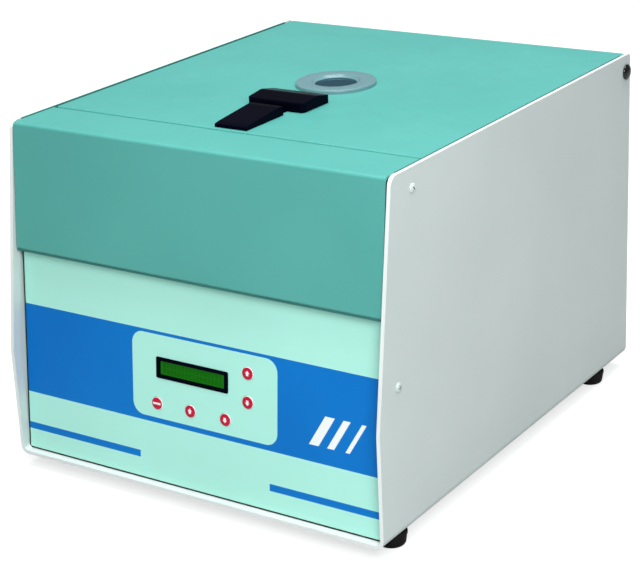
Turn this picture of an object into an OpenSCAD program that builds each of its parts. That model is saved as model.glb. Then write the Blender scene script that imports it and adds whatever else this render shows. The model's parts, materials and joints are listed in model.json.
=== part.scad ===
// Bench cytocentrifuge with a hinged lid, a sliding latch and a rotor of six slide holders.
// Millimetres, +Z up, -Y is the front. The origin is on the floor, under the middle of the body.

/* [Body] */
// Width across the side panels
body_w = 373; // [340:1:420]
// Depth of the side panels
body_d = 444; // [425:1:480]
// Height from the base's underside to the top edge of the side panels
body_h = 294.5; // [290:0.5:330]
// Thickness of the body's sheet
sheet_t = 2; // [1.5:0.1:2.5]
// Thickness of the folded hem along the open edges
hem_t = 3.2; // [2.8:0.1:4]
// Width of the folded hem
hem_w = 9; // [6:1:12]
// How far the top front corner stands behind the base's front edge
top_setback = 28; // [15:1:34]
// Height above the base at which the front edge starts to lean back
knee_h = 97; // [60:1:130]
// Outer radius of the bends between base and sides
wrap_r = 8; // [5:1:12]

/* [Front] */
// Thickness of the front cover's sheet
cover_t = 1.6; // [1.2:0.1:2]
// Depth of the front cover's strip on the top face
strip_d = 53; // [48:1:60]
// Height of the front cover's face
cover_h = 110; // [100:1:120]
// Gap between the front cover and the side panels' hems
cover_gap = 1.2; // [0.6:0.1:1.6]
// Lean of the front cover's face from upright, in degrees
cover_lean = 5.8; // [4:0.1:7]
// Lean of the control panel from upright, in degrees
panel_lean = 5.43; // [4:0.01:6.5]
// Distance from the base's front edge back to the control panel
panel_inset = 6.6; // [5:0.1:10]
// Thickness of the control panel's sheet
panel_t = 1.5; // [1:0.1:2]
// Thickness of the printed film on the control panel
film_t = 0.5; // [0.3:0.1:0.8]

/* [Keys and display] */
// Diameter of a key cap
key_d = 11; // [9:0.5:12]
// Height of a key cap above the film
key_proud = 0.9; // [0.6:0.1:1.2]
// Travel of a key
key_travel = 0.5; // [0.3:0.1:0.7]
// Gap round a key cap in its hole
key_gap = 0.3; // [0.2:0.1:0.5]
// Width of the display's bezel
bezel_w = 73.2; // [70:0.2:76]
// Height of the display's bezel
bezel_h = 18.4; // [17:0.2:20]
// Width of the display's glass
glass_w = 65.2; // [60:0.2:66]
// Height of the display's glass
glass_h = 11.8; // [9:0.2:12.6]

/* [Lid] */
// Thickness of the lid's sheet
lid_t = 1.6; // [1.2:0.1:2]
// Depth of the lid's folded edges
lid_edge_h = 26; // [24:1:27]
// Gap between the lid and the side panels' hems
lid_side_gap = 1.5; // [1:0.1:2]
// Gap between the lid and the front cover
lid_front_gap = 1.5; // [1:0.1:2]
// Distance of the hinge axis from the side panels' rear edge
hinge_back = 9; // [8.5:0.5:14]
// Depth of the hinge axis below the side panels' top edge
hinge_drop = 15.5; // [13:0.5:17]
// Diameter of the hinge pins
hinge_pin_d = 8; // [6:0.5:9]
// Diameter of the round caps on the hinge pins
hinge_cap_d = 14; // [12:0.5:16]
// Diameter of the sight disc on the lid
port_d = 71; // [64:1:80]
// Height of the sight disc above the lid
port_proud = 3.5; // [2:0.1:5]
// Diameter of the sight disc's window
port_bore_d = 37; // [30:1:44]

/* [Latch] */
// Width of the latch's fixed slab
slab_w = 32; // [28:1:36]
// Length of the latch's fixed slab
slab_l = 53; // [48:1:56]
// Height of the latch's fixed slab at its rear end
slab_h = 8; // [6:0.5:9]
// Width of the thumb grip
grip_w = 57; // [48:1:64]
// Length of the thumb grip
grip_l = 40.5; // [36:0.5:46]
// Height of the thumb grip's crest above the lid
grip_h = 10.4; // [9:0.2:12]
// Travel of the latch
latch_travel = 10; // [8:0.5:10]

/* [Chamber] */
// Distance from the lid's front edge back to the chamber's rim
chamber_front = 8; // [4:1:14]
// Distance from the body's rear edge forward to the chamber's rim
chamber_rear = 49.5; // [46:0.5:60]
// Wall of the chamber bowl
bowl_t = 1.5; // [1:0.1:2]
// Depth of the chamber bowl below the deck
bowl_depth = 109.5; // [105:0.5:112]

/* [Rotor] */
// Gap between the rotor and the chamber's wall
rotor_gap = 16; // [12:1:20]
// Thickness of the rotor's plate
rotor_t = 4; // [3:0.5:5]
// Distance of the holders' hinges in from the rotor's rim
pivot_in = 24; // [22:1:28]
// Diameter of a holder's trunnions
trunnion_d = 4; // [3:0.5:4.5]
// Running clearance round the trunnions, pins and shaft, on the radius
run_fit = 0.05; // [0.02:0.01:0.1]
// Angle at which an idle holder leans in at its foot, in degrees
rest_tilt = 6; // [4:1:7]
// Width of a slide clip
clip_w = 28; // [26:1:29]
// Height of a slide clip
clip_h = 66; // [60:1:70]
// Diameter of the motor's shaft
shaft_d = 12; // [10:0.5:14]

/* [Motor] */
// Radius of the motor's housing
motor_r = 55; // [48:1:60]
// Gap between the motor's upper end bell and the chamber bowl
motor_gap = 23; // [18:1:30]

/* [Feet] */
// Height of the feet
foot_h = 12; // [8:0.5:16]
// Radius of the feet at the top
foot_r = 13; // [10:0.5:16]
// Distance of the feet's centres from the side panels' outer faces
foot_in = 14; // [13.5:0.5:30]
// Distance of the front feet from the base's front edge
foot_front = 34; // [30:1:60]
// Distance of the rear feet from the base's rear edge
foot_rear = 50; // [30:1:60]

/* [Hidden] */
$fn = 48;

// Number of slide holders on the rotor
holder_count = 6;
// Clearance between pieces that sit side by side or on each other
seat = 0.3;
// Small overshoot that keeps cuts clean
cut = 1;

// Body datums
half_w = body_w / 2;
front_y = -body_d / 2;
rear_y = body_d / 2;
base_z = foot_h;
floor_z = base_z + sheet_t;
top_z = base_z + body_h;
knee_z = base_z + knee_h;
corner_y = front_y + top_setback;
side_in = half_w - sheet_t;
hem_in = half_w - hem_t;
top_corner_r = 8;
seam_y = corner_y + strip_d;
lid_front_y = seam_y + lid_front_gap;
lid_rear_y = rear_y - 1.5;

// Deck, chamber gasket and lid stack, counted down from the lid's top
lid_top = top_z - 0.5;
lid_low = lid_top - lid_edge_h;
liner_t = 1.2;
gasket_h = 4.2;
deck_t = 2;
deck_top = lid_low - seat - gasket_h - bowl_t;
deck_low = deck_top - deck_t;
deck_side = side_in - 0.4;
deck_flange_h = 20;
deck_front = corner_y + 10;
deck_rear = rear_y - hem_w - seat;
bowl_floor = deck_top - bowl_depth;
bowl_rim_w = 9;
bowl_rim_r = (rear_y - chamber_rear - lid_front_y - chamber_front) / 2;
bowl_r = bowl_rim_r - bowl_rim_w - bowl_t;
bowl_corner_r = 12;
axis_y = lid_front_y + chamber_front + bowl_rim_r;

// Front cover
cover_w = hem_in - cover_gap;
cover_top_y = corner_y - 1;
cover_low = top_z - cover_h;
cover_face_low_y = cover_top_y - cover_h * tan(cover_lean);
cover_side_d = 40;
cover_side_low = deck_top + seat;

// Control panel, in its own leaning frame: x across, y into the body, z up the panel
panel_y = front_y + panel_inset;
panel_w = hem_in - 0.5;
panel_low = hem_t + seat;
panel_high = 250;
panel_flange = 20;
panel_back = film_t + panel_t;
boss_r = 3;
deck_flange_front = panel_y + (deck_low - base_z) * tan(panel_lean) + panel_flange + 2;

// Key centres across and up the panel, named for what each does
key_low = 73;
keys = [["stop", -39.2, key_low], ["start", -4.9, key_low], ["menu", 30.6, key_low],
    ["up", 53, 116.8], ["down", 53, 92.3]];
key_stem_r = 2;
key_stem_end = 8;
key_flange_t = 0.6;
switch_s = 6;
board_t = 1.6;
key_board_y = 12;
key_board = [140, 72];
key_board_at = [5, 92];
display_at = [-2.9, 105];
bezel_proud = 0.8;
bezel_body_w = bezel_w - 4;
bezel_body_h = bezel_h - 3;
bezel_depth = 6;
display_board_size = [80, 30];
display_post_x = 35;
display_post_z = 12;
key_post_x = 64;
key_post_z = 30;

// Lid
lid_half_w = hem_in - lid_side_gap;
hinge_y = rear_y - hinge_back;
hinge_z = top_z - hinge_drop;
hinge_boss_r = hinge_pin_d / 2 + 3;
hinge_boss_l = 8;
cap_proud = 3.5;
port_bore_r = port_bore_d / 2;
sleeve_t = 1.5;

// Latch: the bolt hangs below the lid's sheet, the slab and the grip sit on it
slab_y = lid_front_y + 3;
slab_end = slab_y + slab_l;
grip_y = slab_end + latch_travel + 0.5;
rail_w = 24;
rail_h = 3;
bolt_w = 18;
bolt_t = 3;
bolt_top = lid_top - 8;
neck_w = 8;
neck_l = 12;
neck_y = grip_y + 14;
bolt_front = lid_front_y + 2;
bolt_gap = 0.4;
guide_w = 32;
guide_l = 8;
guide_gap = 14;

// Lock box behind the front cover
lock_w = 48;
lock_d = 36;
lock_y = seam_y - 4.5 - lock_d;

// Rear panel and what it carries
rear_t = 1.5;
rear_flange = 14;
rear_panel_y = rear_y - 6.5 - rear_t;
rear_panel_w = panel_w;
rear_panel_top = deck_low - seat;
inlet_at = [65 - half_w, 62];
inlet_cut = [48, 28];
inlet_flange = [50, 31];
inlet_recess = [24, 17];
inlet_recess_d = 17;
inlet_body_d = 20;
switch_at = [123 - half_w, 62];
switch_size = [30, 22];
switch_body_d = 16;
rocker_size = [19, 12];
rocker_pivot_d = 2.5;
rocker_room_d = 10;
fuse_at = [165 - half_w, 62];
fuse_r = 8;
fuse_body_d = 24;
slot_w = 3;
slot_l = 44;
slot_step = 9;
slot_count = 12;
slot_low = 110;
slot_high = 175;
slot_rows = [floor_z + slot_low, floor_z + slot_high];

// Motor and rotor heights
mount_h = 26;
mount_r = 12;
mount_xy = 80;
plate_w = 200;
plate_corner_r = 12;
plate_t = 4;
plate_z = floor_z + mount_h;
plate_top = plate_z + plate_t;
motor_h = bowl_floor - bowl_t - motor_gap - plate_top;
bell_h = 12;
bearing_r = 14;
bearing_h = 8;
bell_skin = 2;
armature_r = 30;
stator_r = 32;
stator_gap = 10;
rotor_r = bowl_r - rotor_gap;
pivot_r = rotor_r - pivot_in;
pivot_drop = 38;
pivot_z = deck_top - pivot_drop;
rotor_z = pivot_z - 13;
hub_r = 20;
hub_low = rotor_z - 8;
hub_high = rotor_z + 17;
shoulder_r = shaft_d / 2 + 3;
foot_recess_r = 5;
foot_recess_h = 3;
shaft_top = hub_high + 10;
knob_h = 22;
knob_r = 17;
window_in_r = pivot_r - 40;
window_out_r = pivot_r + 18;
window_half_w = 17.5;
ear_in = window_half_w + 0.5;
ear_t = 4;
ear_d = 11;
ear_h = 6;
shoulder_low = bowl_floor + 8;

// Holder, in its own upright frame: x along the hinge, y outwards, z up, pivot at zero
clip_y = 6;
clip_t = 2;
clip_top = 14;
cheek_t = 1.5;
cup_r = 8;
cup_y = -13;
cup_low = -44;
cup_high = -16;
port_z = -36;
pad_t = 4;

// Power board and transformer on the base, placed from its front and left edges
supply_at = [80 - half_w, front_y + 55.5];
supply_board = [80, 60];
supply_pillar_h = 10;
supply_pillar_in = 5;
supply_cap_h = 28;
supply_cap_r = 8;
relay_at = [48, 8];
relay_size = [24, 18, 16];
sink_at = [8, 38];
sink_size = [58, 16, 4];
fin_t = 2;
fin_h = 26;
fin_step = 7;
transformer_at = [30, front_y + 60.5];
transformer_size = [78, 46];
core_h = 55;

// Screws on the side panels: distance behind the top front corner, and height
screw_reach = 8;
screw_r = 2;
screw_head_r = 4;
screw_head_h = 2.2;
cover_screw = [corner_y + 29, top_z - 16.5];
panel_screw_h = 127.4;
panel_screw = [corner_y + 0.5, base_z + panel_screw_h];

// Points of an arc of radius r that rounds the corner b between a and c
function corner_arc(a, b, c, r, n = 5) =
    let (u = (a - b) / norm(a - b), v = (c - b) / norm(c - b), half = acos(u * v) / 2,
        mid = b + (u + v) / norm(u + v) * r / sin(half),
        p = b + u * r / tan(half) - mid, q = b + v * r / tan(half) - mid,
        from = atan2(p[1], p[0]), turn = atan2(q[1], q[0]) - from,
        sweep = turn > 180 ? turn - 360 : turn < -180 ? turn + 360 : turn)
    r <= 0 ? [b] : [for (i = [0:n]) mid + r * [cos(from + sweep * i / n), sin(from + sweep * i / n)]];

// A closed outline whose corners, given as [x, y, radius], are rounded
function rounded(pts) = let (n = len(pts)) [for (i = [0:n - 1])
    let (a = pts[(i + n - 1) % n], b = pts[i], c = pts[(i + 1) % n])
    each corner_arc([a[0], a[1]], [b[0], b[1]], [c[0], c[1]], b[2])];

function unit(v) = v / norm(v);
function left_of(a, b) = let (d = unit(b - a)) [-d[1], d[0]];

// Corners of a path moved to its left by t
function beside(path, t) = let (n = len(path)) [for (i = [0:n - 1])
    let (p = i > 0 ? left_of(path[i - 1], path[i]) : left_of(path[0], path[1]),
        q = i < n - 1 ? left_of(path[i], path[i + 1]) : p)
    path[i] + (p + q) / (1 + p * q) * t];

// Section of a sheet bent along a path; its left side is the inside of the bends
function bent(path, t, r) = let (n = len(path), inner = beside(path, t))
    concat([path[0]],
        [for (i = [1:1:n - 2]) each corner_arc(path[i - 1], path[i], path[i + 1], r)],
        [path[n - 1], inner[n - 1]],
        [for (i = [n - 2:-1:1]) each corner_arc(inner[i + 1], inner[i], inner[i - 1], max(r - t, 0.2))],
        [inner[0]]);

// Side outline of the body, with its open edges drawn in by d
function side_outline(d) = [
    [front_y + d, base_z - cut * (1 - sign(d)), 0],
    [front_y + d, knee_z, 0],
    [corner_y + d, top_z - d, max(top_corner_r - d, 1)],
    [rear_y - d, top_z - d, max(top_corner_r / 2 - d, 1)],
    [rear_y - d, base_z - cut * (1 - sign(d)), 0]];

// Extrudes an outline drawn as [y, z] along X, centred
module along_x(w) {
    rotate([90, 0, 90]) linear_extrude(w, center = true) children();
}

// Extrudes an outline drawn as [x, z] from the plane y towards the rear
module from_front(y, d) {
    translate([0, y + d, 0]) rotate([90, 0, 0]) linear_extrude(d) children();
}

module on_panel() {
    translate([0, panel_y, base_z]) rotate([-panel_lean, 0, 0]) children();
}

module both_sides() {
    children();
    mirror([1, 0, 0]) children();
}

module box_between(a, b) {
    translate(a) cube(b - a);
}

module bar_x(r, from, to, fn = 48) {
    translate([from, 0, 0]) rotate([0, 90, 0]) cylinder(h = to - from, r = r, $fn = fn);
}

module tube(outer, inner, h) {
    difference() {
        cylinder(h = h, r = outer);
        translate([0, 0, -cut]) cylinder(h = h + 2 * cut, r = inner);
    }
}

module rounded_rect(w, h, r) {
    polygon(rounded([[-w / 2, -h / 2, r], [w / 2, -h / 2, r], [w / 2, h / 2, r], [-w / 2, h / 2, r]]));
}

module on_axis(z = 0) {
    translate([0, axis_y, z]) children();
}

// U section of the wrap, open at the top
module wrap_section(t) {
    polygon(bent([[-half_w, top_z + cut], [-half_w, base_z], [half_w, base_z], [half_w, top_z + cut]],
        t, wrap_r));
}

// Room inside the wrap's hems, which the front and rear panels fit
module inside_wrap() {
    from_front(front_y - cut, body_d + 2 * cut) polygon(rounded([
        [-panel_w, base_z + panel_low, wrap_r - hem_t], [panel_w, base_z + panel_low, wrap_r - hem_t],
        [panel_w, top_z, 0], [-panel_w, top_z, 0]]));
}

module side_screw_holes() {
    both_sides() for (at = [cover_screw, panel_screw])
        translate([0, at[0], at[1]]) bar_x(screw_r + run_fit, side_in - 25, half_w + cut);
}

module outer_wrap() color("#c8d2cd") {
    difference() {
        union() {
            intersection() {
                from_front(front_y, body_d) wrap_section(sheet_t);
                along_x(body_w + 2) polygon(rounded(side_outline(0)));
            }
            // Hem along the front, top and rear edges
            intersection() {
                from_front(front_y, body_d) wrap_section(hem_t);
                difference() {
                    along_x(body_w + 2) polygon(rounded(side_outline(0)));
                    along_x(body_w + 4) polygon(rounded(side_outline(hem_w)));
                }
            }
        }
        side_screw_holes();
        both_sides() translate([0, hinge_y, hinge_z])
            bar_x(hinge_pin_d / 2 + run_fit, hem_in - cut, half_w + cut);
    }
}

module front_cover() color("#3f9890") {
    difference() {
        union() {
            along_x(2 * cover_w) polygon(bent([
                [panel_face_y(cover_low) - seat, cover_low],
                [cover_face_low_y, cover_low],
                [cover_top_y, top_z - 0.5],
                [seam_y, top_z - 0.5],
                [seam_y, top_z - 24]], -cover_t, 3));
            both_sides() box_between([cover_w - cover_t, seam_y - cover_t - cover_side_d, cover_side_low],
                [cover_w, seam_y - cover_t / 2, top_z - cover_t]);
        }
        side_screw_holes();
        box_between([-bolt_w / 2 - 1, seam_y - cover_t - cut, bolt_top - bolt_t - 1],
            [bolt_w / 2 + 1, seam_y + cut, bolt_top + 1]);
    }
}

function panel_face_y(z) = panel_y + (z - base_z) * tan(panel_lean);

// Openings through the film and the panel for keys and display
module panel_cuts(extra) {
    for (k = keys) translate([k[1], -cut, k[2]]) rotate([-90, 0, 0])
        cylinder(h = panel_back + 2 * cut, r = key_d / 2 + key_gap);
    translate([display_at[0], 0, display_at[1]]) box_between(
        [-bezel_body_w / 2 - extra, -cut, -bezel_body_h / 2 - extra],
        [bezel_body_w / 2 + extra, panel_back + cut, bezel_body_h / 2 + extra]);
}

module control_panel() color("#a9dccf") {
    difference() {
        intersection() {
            on_panel() union() {
                box_between([-panel_w, film_t, 0], [panel_w, panel_back, panel_high]);
                both_sides() box_between([panel_w - panel_t, film_t, 0],
                    [panel_w, film_t + panel_flange, panel_high]);
            }
            inside_wrap();
        }
        on_panel() panel_cuts(seat);
        side_screw_holes();
    }
    // Pillars for the display and the control board
    on_panel() for (x = [-1, 1], z = [-1, 1]) {
        translate([display_at[0] + x * display_post_x, panel_back, display_at[1] + z * display_post_z])
            rotate([-90, 0, 0]) cylinder(h = bezel_depth - panel_back, r = boss_r - 0.5);
        translate([key_board_at[0] + x * key_post_x, panel_back, key_board_at[1] + z * key_post_z])
            rotate([-90, 0, 0]) cylinder(h = key_board_y - panel_back, r = boss_r);
    }
}

module panel_film() color("#acebdc") {
    difference() {
        intersection() {
            on_panel() box_between([-panel_w, 0, 0], [panel_w, film_t, cover_low - base_z + 6]);
            inside_wrap();
        }
        on_panel() panel_cuts(seat);
    }
}

module display_bezel() color("#0c0e12") on_panel() translate([display_at[0], 0, display_at[1]]) {
    difference() {
        union() {
            from_front(-bezel_proud, bezel_proud) rounded_rect(bezel_w, bezel_h, 1.5);
            from_front(-0.01, bezel_depth + 0.01) rounded_rect(bezel_body_w, bezel_body_h, 1);
        }
        box_between([-glass_w / 2, -cut - bezel_proud, -glass_h / 2], [glass_w / 2, 1.4, glass_h / 2]);
    }
}

module display_glass() color("#3f8a2c") on_panel() translate([display_at[0], 0, display_at[1]]) {
    from_front(0.2, 1.2) rounded_rect(glass_w - 0.1, glass_h - 0.1, 0.3);
}

module display_board() color("#2d6b3f") on_panel() {
    translate([display_at[0], 0, display_at[1]]) from_front(bezel_depth, board_t)
        rounded_rect(display_board_size[0], display_board_size[1], 1);
}

module control_board() color("#2d6b3f") on_panel() {
    translate([key_board_at[0], 0, key_board_at[1]]) from_front(key_board_y, board_t)
        rounded_rect(key_board[0], key_board[1], 2);
    // One push switch behind each key, clear of the key's stem by its travel
    for (k = keys) translate([k[1], key_stem_end + key_travel + 0.1, k[2]])
        box_between([-switch_s / 2, 0, -switch_s / 2],
            [switch_s / 2, key_board_y - key_stem_end - key_travel - 0.1 + 0.01, switch_s / 2]);
    // Controller chip and a row of driver chips
    translate([key_board_at[0], key_board_y + board_t, key_board_at[1]]) {
        box_between([-18, 0, -14], [10, 3, 14]);
        for (x = [22:12:46]) box_between([x, 0, -10], [x + 7, 2.5, 10]);
    }
}

module key_cap(i) color("#c4143a") on_panel() translate([keys[i][1], 0, keys[i][2]])
    rotate([-90, 0, 0]) {
        // Crowned cap, skirt through the panel, retaining flange and stem
        translate([0, 0, -key_proud]) cylinder(h = 0.4, r1 = key_d / 2 - 0.5, r2 = key_d / 2);
        translate([0, 0, 0.4 - key_proud]) cylinder(h = key_proud + panel_back, r = key_d / 2);
        translate([0, 0, panel_back + seat]) cylinder(h = key_flange_t, r = key_d / 2 + 1);
        cylinder(h = key_stem_end, r = key_stem_r);
    }

module deck_plate() color("#b9c2c4") {
    difference() {
        union() {
            box_between([-deck_side, deck_front, deck_low], [deck_side, deck_rear, deck_top]);
            both_sides() box_between([deck_side - deck_t, deck_flange_front, deck_low - deck_flange_h],
                [deck_side, deck_rear, deck_top]);
        }
        on_axis(deck_low - cut) cylinder(h = deck_t + 2 * cut, r = bowl_r + bowl_t + seat, $fn = 96);
    }
}

module chamber_bowl() color("#cfd4d6") on_axis() {
    rotate_extrude($fn = 96) polygon(concat(
        [[shoulder_r + 6, bowl_floor - bowl_t]],
        corner_arc([0, bowl_floor - bowl_t], [bowl_r + bowl_t, bowl_floor - bowl_t],
            [bowl_r + bowl_t, deck_top], bowl_corner_r),
        [[bowl_r + bowl_t, deck_top], [bowl_rim_r, deck_top], [bowl_rim_r, deck_top + bowl_t],
            [bowl_r, deck_top + bowl_t]],
        corner_arc([bowl_r, deck_top], [bowl_r, bowl_floor], [0, bowl_floor], bowl_corner_r - bowl_t),
        [[shoulder_r + 6, bowl_floor]]));
}

module chamber_gasket() color("#2a2c2e") on_axis(deck_top + bowl_t) {
    rotate_extrude($fn = 96) polygon(rounded([[bowl_r + 1, 0, 0], [bowl_rim_r, 0, 0],
        [bowl_rim_r, gasket_h, 1.5], [bowl_r + 1, gasket_h, 1.5]]));
}

module motor_plate() color("#8d9498") on_axis(plate_z) {
    difference() {
        from_top(plate_t) rounded_rect(plate_w, plate_w, plate_corner_r);
        for (x = [-1, 1], y = [-1, 1]) translate([x * mount_xy, y * mount_xy, -cut])
            cylinder(h = plate_t + 2 * cut, r = 3 + run_fit);
    }
}

module from_top(h) {
    linear_extrude(h) children();
}

module motor_mounts() color("#1b1c1d") on_axis(floor_z) {
    for (x = [-1, 1], y = [-1, 1]) translate([x * mount_xy, y * mount_xy, 0]) {
        rotate_extrude() polygon([[0, 0], [mount_r, 0], [mount_r, 3], [mount_r - 2.5, 8],
            [mount_r - 2.5, mount_h - 8], [mount_r, mount_h - 3], [mount_r, mount_h],
            [0, mount_h]]);
        // Stud up through the motor plate, with its nut
        cylinder(h = mount_h + plate_t + 4, r = 3);
        translate([0, 0, mount_h + plate_t]) cylinder(h = 3, r = 5.5, $fn = 6);
    }
}

module motor_housing() color("#3b4045") on_axis(plate_top + bell_h) {
    // Shell with its stator as a thicker ring in the middle
    rotate_extrude($fn = 64) polygon([[motor_r - 4, 0], [motor_r, 0],
        [motor_r, motor_h - 2 * bell_h], [motor_r - 4, motor_h - 2 * bell_h],
        [motor_r - 4, motor_h - 2 * bell_h - stator_gap], [stator_r, motor_h - 2 * bell_h - stator_gap],
        [stator_r, stator_gap], [motor_r - 4, stator_gap]]);
}

// Bell with its bearing pocket opening upwards
module end_bell(r) {
    rotate_extrude($fn = 64) polygon([[shaft_d / 2 + 1, 0], [r - 3, 0], [r, 3], [r, bell_h],
        [bearing_r + 4, bell_h], [bearing_r + run_fit, bell_h], [bearing_r + run_fit, bell_skin],
        [shaft_d / 2 + 1, bell_skin]]);
}

module motor_end_bells() color("#a4abaf") on_axis() {
    translate([0, 0, plate_top]) end_bell(motor_r);
    translate([0, 0, plate_top + motor_h]) mirror([0, 0, 1]) end_bell(motor_r);
}

module motor_bearings() color("#d7dadd") on_axis() {
    for (z = [plate_top + bell_skin, plate_top + motor_h - bell_skin - bearing_h])
        translate([0, 0, z]) tube(bearing_r, shaft_d / 2 + run_fit, bearing_h);
}

module shaft_boot() color("#222426") on_axis(bowl_floor) {
    // Rubber boot that closes the bowl's floor round the shaft's shoulder
    rotate_extrude() polygon([[shoulder_r + 1.5, -10], [shoulder_r + 5.5, -10],
        [shoulder_r + 5.5, 0], [shoulder_r + 14, 0], [shoulder_r + 14, 2.5],
        [shoulder_r + 7, 4], [shoulder_r + 3.5, 9], [shoulder_r + 1.5, 9]]);
}

module motor_shaft() color("#c9ced2") on_axis() {
    rotate_extrude() polygon([[0, plate_top + bell_skin + 0.5],
        [shaft_d / 2, plate_top + bell_skin + 0.5],
        [shaft_d / 2, plate_top + bell_h + stator_gap],
        [armature_r, plate_top + bell_h + stator_gap],
        [armature_r, plate_top + motor_h - bell_h - stator_gap],
        [shaft_d / 2, plate_top + motor_h - bell_h - stator_gap],
        [shaft_d / 2, shoulder_low - 4], [shoulder_r, shoulder_low],
        [shoulder_r, hub_low], [shaft_d / 2, hub_low], [shaft_d / 2, shaft_top - 1],
        [shaft_d / 2 - 1, shaft_top], [0, shaft_top]]);
}

module at_holder(i) {
    rotate([0, 0, i * 360 / holder_count - 90]) translate([0, pivot_r, 0]) children();
}

module rotor_body() color("#b4babd") on_axis() {
    difference() {
        union() {
            translate([0, 0, rotor_z]) cylinder(h = rotor_t, r = rotor_r, $fn = 96);
            translate([0, 0, hub_low]) cylinder(h = hub_high - hub_low, r = hub_r);
            // Stiffening ring under the rim of the plate
            translate([0, 0, rotor_z - 4]) tube(rotor_r, rotor_r - 3, 5, $fn = 96);
            for (i = [1:holder_count]) at_holder(i) both_sides()
                box_between([ear_in, -ear_d / 2, rotor_z + rotor_t / 2],
                    [ear_in + ear_t, ear_d / 2, pivot_z + ear_h]);
        }
        translate([0, 0, hub_low - cut]) cylinder(h = hub_high - hub_low + 2 * cut, r = shaft_d / 2 + run_fit);
        for (i = [1:holder_count]) at_holder(i) {
            box_between([-window_half_w, window_in_r - pivot_r, rotor_z - cut],
                [window_half_w, window_out_r - pivot_r, rotor_z + rotor_t + cut]);
            // Open-topped slots that the trunnions drop into
            translate([0, 0, pivot_z]) {
                bar_x(trunnion_d / 2 + run_fit, -ear_in - ear_t - cut, ear_in + ear_t + cut);
                both_sides() box_between([ear_in - cut, -trunnion_d / 2 - run_fit, 0],
                    [ear_in + ear_t + cut, trunnion_d / 2 + run_fit, ear_h + cut]);
            }
        }
    }
}

module rotor_knob() color("#15171a") on_axis(hub_high) {
    difference() {
        union() {
            cylinder(h = knob_h, r = knob_r - 1.5);
            // Scalloped grip ribs
            for (i = [0:11]) rotate([0, 0, i * 30]) translate([knob_r - 2.5, 0, 3])
                cylinder(h = knob_h - 5, r = 2.5, $fn = 24);
            cylinder(h = 3, r = knob_r + 1);
        }
        translate([0, 0, -cut]) cylinder(h = shaft_top - hub_high + 2 + cut, r = shaft_d / 2 + run_fit);
    }
}

// Places a holder's upright frame on the rotor, leaning in at its foot
module hold(i) {
    on_axis(pivot_z) at_holder(i) rotate([-rest_tilt, 0, 0]) children();
}

module slide_clip(i) color("#9aa1a6") hold(i) {
    difference() {
        union() {
            box_between([-clip_w / 2, clip_y, clip_top - clip_h], [clip_w / 2, clip_y + clip_t, clip_top]);
            both_sides() {
                box_between([clip_w / 2 - cheek_t, -4, -9], [clip_w / 2, clip_y + clip_t, 6]);
                bar_x(trunnion_d / 2, clip_w / 2 - cheek_t, ear_in + ear_t - 0.2, 32);
                // Lips that hold the sample chamber's pad on the clip
                box_between([clip_w / 2 - cheek_t, clip_y - pad_t - 2, cup_low - 6],
                    [clip_w / 2, clip_y + clip_t, cup_low + 16]);
            }
            // Ledge that the slide's foot stands on
            box_between([-clip_w / 2, clip_y - pad_t - 2, clip_top - clip_h],
                [clip_w / 2, clip_y + clip_t, clip_top - clip_h + 1.5]);
        }
        // Sight slot down the middle of the plate
        box_between([-4, clip_y - cut, -16], [4, clip_y + clip_t + cut, 2]);
    }
}

module sample_chamber(i) color("#e9ece4") hold(i) {
    union() {
        // Pad against the slide, with its lower end on the clip's ledge
        box_between([-clip_w / 2 + cheek_t + seat, clip_y - pad_t, clip_top - clip_h + 1.5],
            [clip_w / 2 - cheek_t - seat, clip_y, cup_high]);
        // Sample tube from the cup to the pad
        translate([0, cup_y, port_z]) rotate([-90, 0, 0])
            cylinder(h = clip_y - pad_t / 2 - cup_y, r = 5);
        // Capped cup
        translate([0, cup_y, cup_low]) cylinder(h = cup_high - cup_low, r = cup_r);
        translate([0, cup_y, cup_high - 0.01]) cylinder(h = 3, r = cup_r + 1.2);
    }
}

module rear_panel() color("#c3cbc8") {
    difference() {
        union() {
            intersection() {
                box_between([-rear_panel_w, rear_panel_y, base_z],
                    [rear_panel_w, rear_panel_y + rear_t, rear_panel_top]);
                inside_wrap();
            }
            both_sides() box_between([rear_panel_w - rear_t, rear_panel_y - rear_flange, base_z + 2 * wrap_r],
                [rear_panel_w, rear_panel_y + rear_t, deck_low - deck_flange_h - seat]);
        }
        on_rear(inlet_at) from_front(rear_panel_y - cut, rear_t + 2 * cut)
            rounded_rect(inlet_cut[0], inlet_cut[1], 1);
        on_rear(switch_at) from_front(rear_panel_y - cut, rear_t + 2 * cut)
            rounded_rect(switch_size[0] - 3, switch_size[1] - 3, 1);
        on_rear(fuse_at) translate([0, rear_panel_y - cut, 0]) rotate([-90, 0, 0])
            cylinder(h = rear_t + 2 * cut, r = fuse_r - 1.5);
        // Two rows of air slots
        for (i = [0:slot_count - 1], z = slot_rows)
            translate([(i - (slot_count - 1) / 2) * slot_step, 0, z])
                from_front(rear_panel_y - cut, rear_t + 2 * cut)
                    polygon(rounded([[-slot_w / 2, 0, slot_w / 2 - 0.01], [slot_w / 2, 0, slot_w / 2 - 0.01],
                        [slot_w / 2, slot_l, slot_w / 2 - 0.01], [-slot_w / 2, slot_l, slot_w / 2 - 0.01]]));
    }
}

module on_rear(at) {
    translate([at[0], 0, at[1]]) children();
}

rear_face = rear_panel_y + rear_t;

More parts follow.
